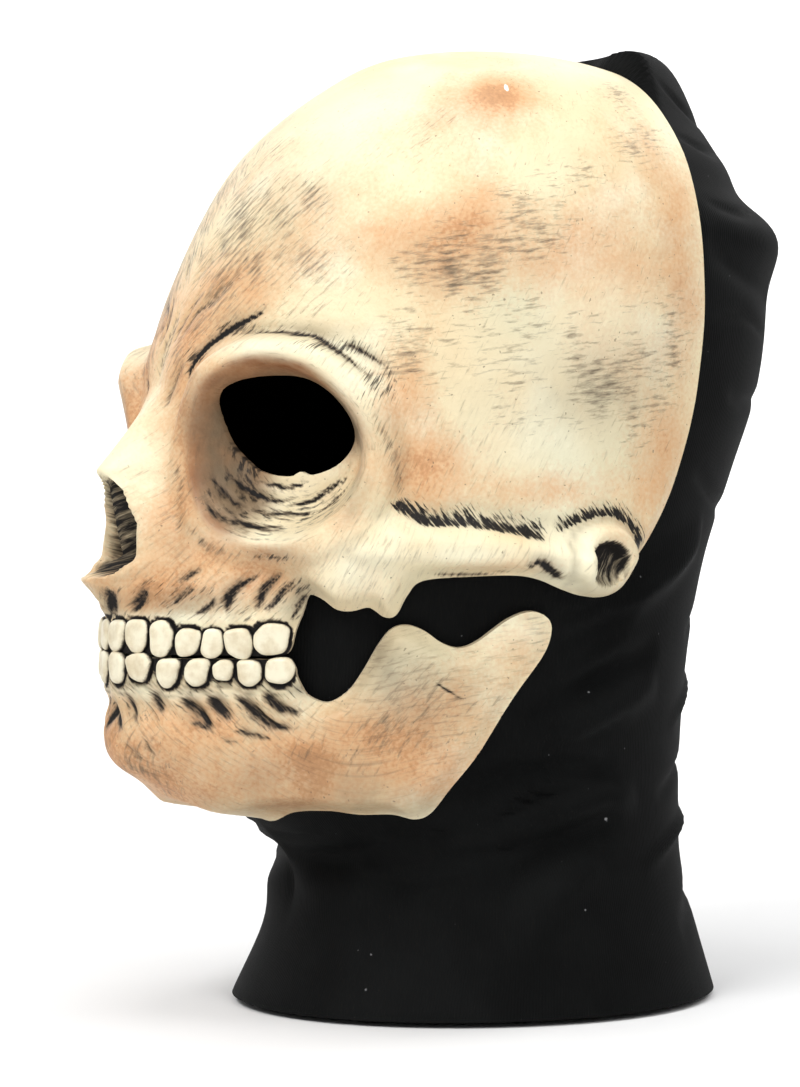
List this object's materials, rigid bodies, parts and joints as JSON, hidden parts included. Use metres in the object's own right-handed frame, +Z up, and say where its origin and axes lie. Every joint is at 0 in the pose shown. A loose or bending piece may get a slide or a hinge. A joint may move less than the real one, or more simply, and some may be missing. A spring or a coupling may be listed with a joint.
{
  "type": "skull mask on a stretch hood",
  "caption": "Head mask for carnival wear: a cast latex skull front and jaw carried on a black knitted hood with a face opening and an open neck.",
  "frame": {"origin": "on the inner face of the hood at its crown, where the wearer's head holds the mask up", "axes": "+Z up, the face looks along -Y, and the wearer's left side is +X"},
  "size_m": [0.1665, 0.2257, 0.2888],
  "materials": {
    "skull_latex": "ivory latex with tan airbrush, dark brushed streaks and dark wash in the hollows, satin",
    "jaw_latex": "ivory latex with tan airbrush, dark brushed streaks and dark wash in the hollows, satin",
    "black_knit": "fine black jersey knit, matt"
  },
  "bodies": {
    "root": {"skull_shell": "skull_latex", "jaw_shell": "jaw_latex", "hood": "black_knit"}
  },
  "joints": []
}
